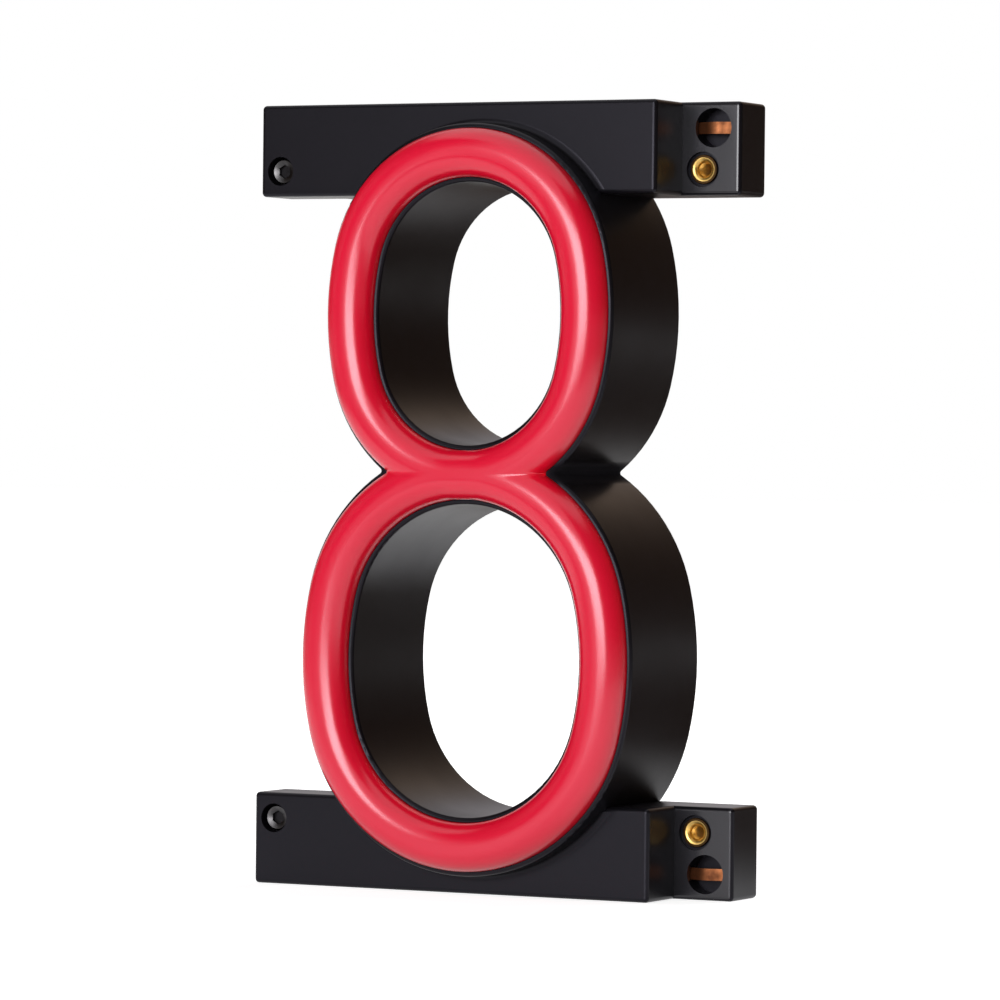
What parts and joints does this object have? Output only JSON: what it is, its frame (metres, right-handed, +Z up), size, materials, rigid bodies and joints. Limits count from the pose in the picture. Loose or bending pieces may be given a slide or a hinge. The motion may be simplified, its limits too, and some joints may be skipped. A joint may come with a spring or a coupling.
{
  "type": "lit number sign module",
  "caption": "Lit figure eight in a black deep channel with a domed red diffuser, between stepped rails that lap, screw and feed power to the next figure in a row.",
  "frame": {"origin": "under the middle of the figure, at the middle of the overall width and depth, on the underside", "axes": "+X along the row to the viewer's right, +Y from the lit front to the back, +Z up"},
  "size_m": [0.104, 0.036, 0.162],
  "materials": {
    "housing_black": "satin black moulded plastic",
    "diffuser_red": "glossy red translucent moulding",
    "board_white": "white solder mask",
    "chip_pale": "pale lamp chips",
    "resistor_black": "black chip resistors",
    "cover_black": "fine-grained black moulded plastic",
    "cover_screw_black": "black coated steel",
    "joining_screw_black": "black oxide steel",
    "washer_steel": "plain steel",
    "insert_brass": "turned brass",
    "bar_copper": "rolled copper",
    "stud_copper": "formed copper",
    "leaf_copper": "sprung copper alloy",
    "pin_brass": "tinned brass"
  },
  "bodies": {
    "module": {"housing": "housing_black", "diffuser": "diffuser_red", "lamp_board": "board_white", "lamp_chips": "chip_pale", "resistors": "resistor_black", "back_cover": "cover_black", "cover_screws": "cover_screw_black", "top_threaded_insert": "insert_brass", "top_contact_bar": "bar_copper", "top_contact_stud": "stud_copper", "top_feed_pin": "pin_brass", "bottom_threaded_insert": "insert_brass", "bottom_contact_bar": "bar_copper", "bottom_contact_stud": "stud_copper", "bottom_feed_pin": "pin_brass"},
    "top_screw": {"top_joining_screw": "joining_screw_black", "top_retaining_washer": "washer_steel"},
    "top_leaf": {"top_contact_leaf": "leaf_copper"},
    "bottom_screw": {"bottom_joining_screw": "joining_screw_black", "bottom_retaining_washer": "washer_steel"},
    "bottom_leaf": {"bottom_contact_leaf": "leaf_copper"}
  },
  "joints": [
    {"name": "top_screw_turn", "type": "hinge", "parent": "module", "child": "top_screw", "pos_m": [-0.0474, 0.00545, 0.1483], "axis": [0, 1, 0], "continuous": true},
    {"name": "top_leaf_press", "type": "hinge", "parent": "module", "child": "top_leaf", "pos_m": [0.029, 0.00365, 0.1567], "axis": [0, 0, 1], "range_deg": [0, 3.5], "stiffness_Nm_per_rad": 0.02},
    {"name": "bottom_screw_turn", "type": "hinge", "parent": "module", "child": "bottom_screw", "pos_m": [-0.0474, 0.00545, 0.0137], "axis": [0, 1, 0], "continuous": true},
    {"name": "bottom_leaf_press", "type": "hinge", "parent": "module", "child": "bottom_leaf", "pos_m": [0.029, 0.00365, 0.0053], "axis": [0, 0, 1], "range_deg": [0, 3.5], "stiffness_Nm_per_rad": 0.02}
  ]
}
